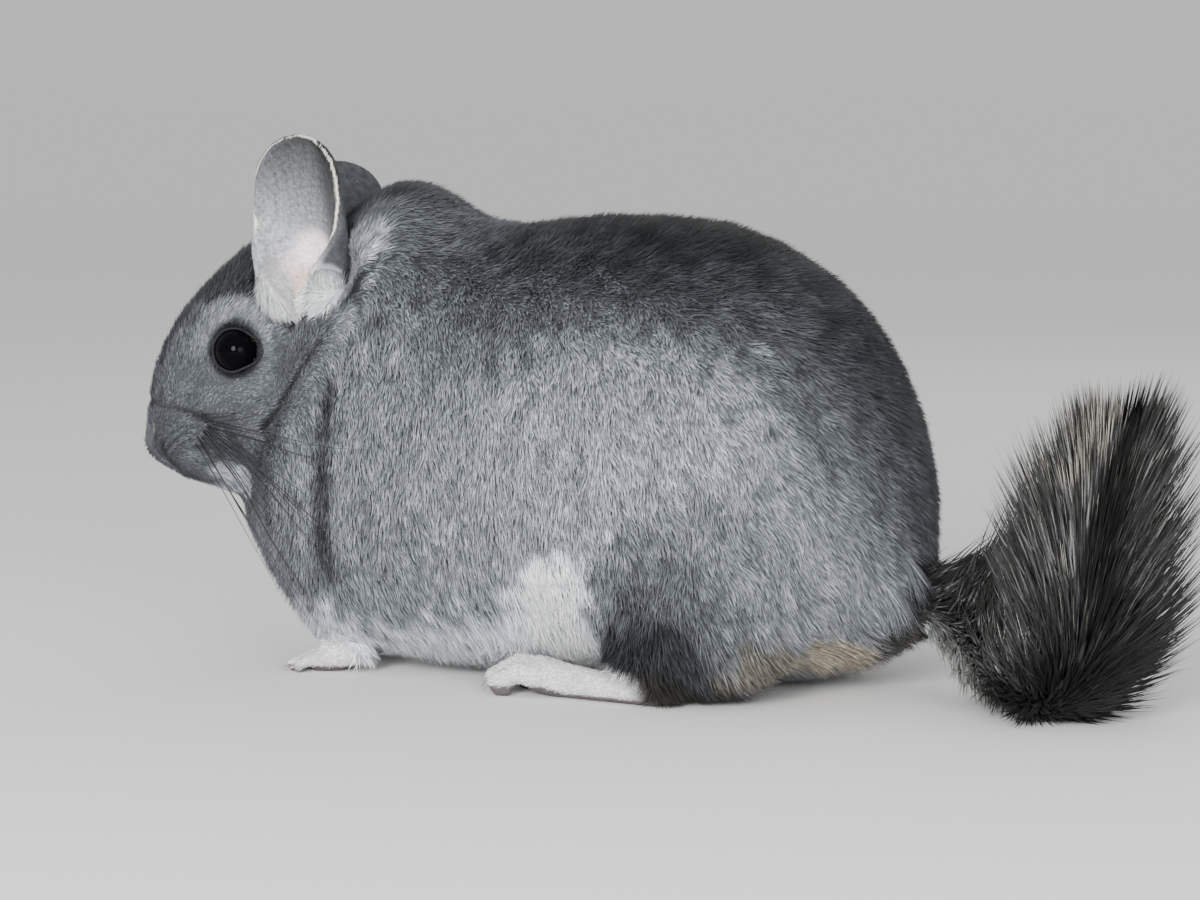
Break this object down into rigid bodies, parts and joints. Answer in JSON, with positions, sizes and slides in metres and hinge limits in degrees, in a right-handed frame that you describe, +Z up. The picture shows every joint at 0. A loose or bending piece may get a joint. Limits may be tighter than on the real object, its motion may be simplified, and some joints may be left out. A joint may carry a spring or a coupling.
{
  "type": "chinchilla figure",
  "caption": "Life-size figure of a grey chinchilla, hunched on four feet with its bushy tail curled upward.",
  "frame": {"origin": "on the floor, under the middle of the object's box", "axes": "+Z up, +X from the nose towards the tail, -Y the animal's left side"},
  "size_m": [0.3128, 0.1366, 0.1536],
  "materials": {
    "coat_grey": "dense soft fur, slate grey with a pale belly",
    "coat_pale": "short white fur over grey-pink pads",
    "ear_skin": "thin skin with velvety down, pink inside its lower half",
    "eye_black": "wet, glossy black",
    "tail_hair": "long bristly hair, black, grey and cream"
  },
  "bodies": {
    "root": {"head": "coat_grey", "neck": "coat_grey", "torso": "coat_grey", "foreleg_left": "coat_grey", "foreleg_right": "coat_grey", "hind_leg_left": "coat_grey", "hind_leg_right": "coat_grey", "eye_left": "eye_black", "eye_right": "eye_black", "ear_left": "ear_skin", "ear_right": "ear_skin", "hind_foot_left": "coat_pale", "hind_foot_right": "coat_pale", "forepaw_left": "coat_pale", "forepaw_right": "coat_pale", "tail_base": "tail_hair", "tail_brush": "tail_hair"}
  },
  "joints": []
}
